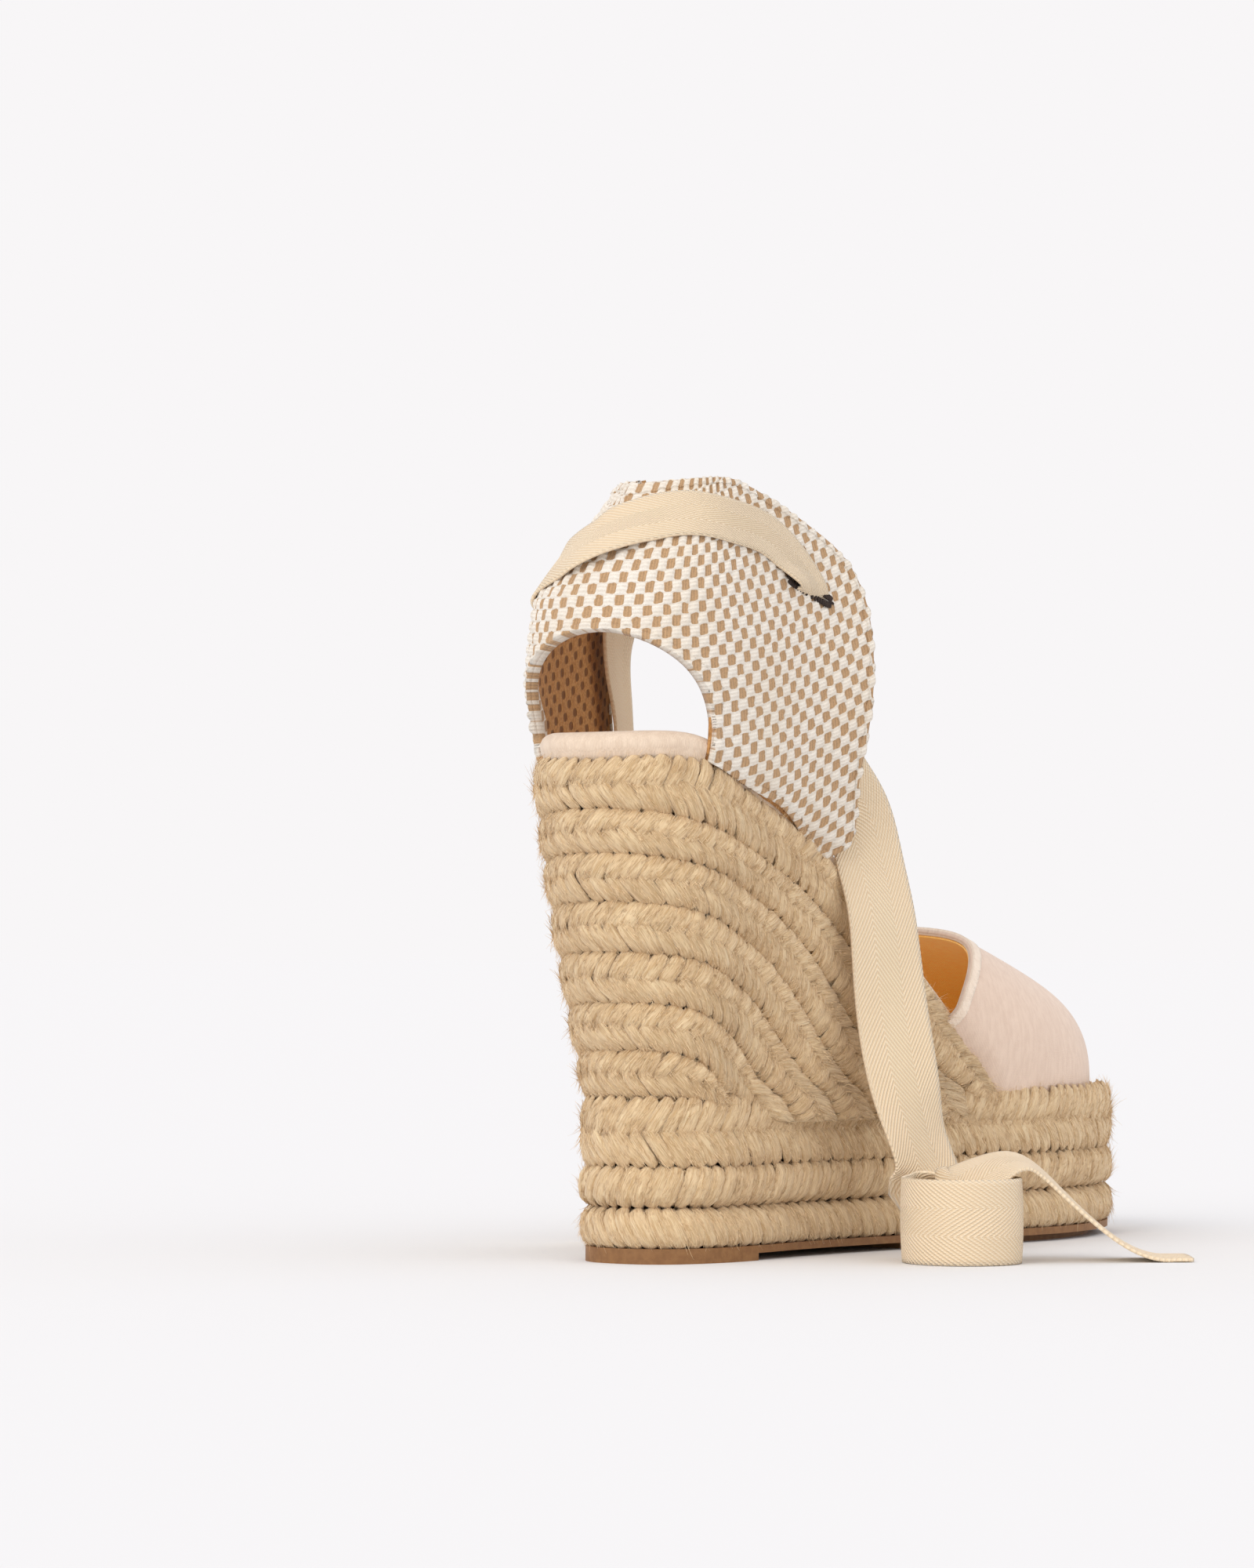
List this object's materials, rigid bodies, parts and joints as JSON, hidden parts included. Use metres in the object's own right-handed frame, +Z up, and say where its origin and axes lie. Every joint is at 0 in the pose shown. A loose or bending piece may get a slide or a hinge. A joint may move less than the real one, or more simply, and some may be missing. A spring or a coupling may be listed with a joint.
{
  "type": "wedge sandal",
  "caption": "Closed-toe wedge sandal with braided jute wedge and platform, an open-backed woven heel counter and a ribbon tie.",
  "frame": {"origin": "middle of the bottom of the bounding box, on the floor that the sandal stands on", "axes": "+Z up, +Y towards the toe, +X to the wearer's right (the outer side of this right shoe)"},
  "size_m": [0.1886, 0.235, 0.1841],
  "materials": {
    "sole_rubber": "matt tan crepe rubber",
    "jute_rope": "twisted natural jute, fibrous",
    "jute_braid": "plaited natural jute, fibrous",
    "foam_core": "light EVA and cork core, hidden",
    "fibre_board": "pressed fibre board, hidden",
    "insole_canvas": "pinkish beige fine canvas over foam",
    "check_canvas": "off-white and tan woven check, coarse threads",
    "tan_lining": "plain tan lining cloth",
    "dark_thread": "dense buttonhole stitch",
    "vamp_canvas": "pinkish beige fine canvas",
    "vamp_binding_tape": "narrow folded tape",
    "twill_ribbon": "cream herringbone twill tape"
  },
  "bodies": {
    "root": {"outsole": "sole_rubber", "sole_rope_lower": "jute_rope", "sole_rope_upper": "jute_rope", "platform_braid_lower": "jute_braid", "platform_braid_upper": "jute_braid", "platform_core": "foam_core", "wedge_braid_1": "jute_braid", "wedge_braid_2": "jute_braid", "wedge_braid_3": "jute_braid", "wedge_braid_4": "jute_braid", "wedge_braid_5": "jute_braid", "wedge_braid_6": "jute_braid", "wedge_braid_7": "jute_braid", "wedge_core": "foam_core", "insole_board": "fibre_board", "insole_cover": "insole_canvas", "heel_foam_pad": "insole_canvas", "counter_outer": "check_canvas", "counter_lining": "tan_lining", "counter_top_hem": "check_canvas", "counter_opening_hem": "check_canvas", "buttonhole_right": "dark_thread", "buttonhole_left": "dark_thread", "vamp_outer": "vamp_canvas", "vamp_lining": "tan_lining", "vamp_binding": "vamp_binding_tape", "ribbon_band": "twill_ribbon", "ribbon_tail_right": "twill_ribbon", "ribbon_tail_left": "twill_ribbon"}
  },
  "joints": []
}
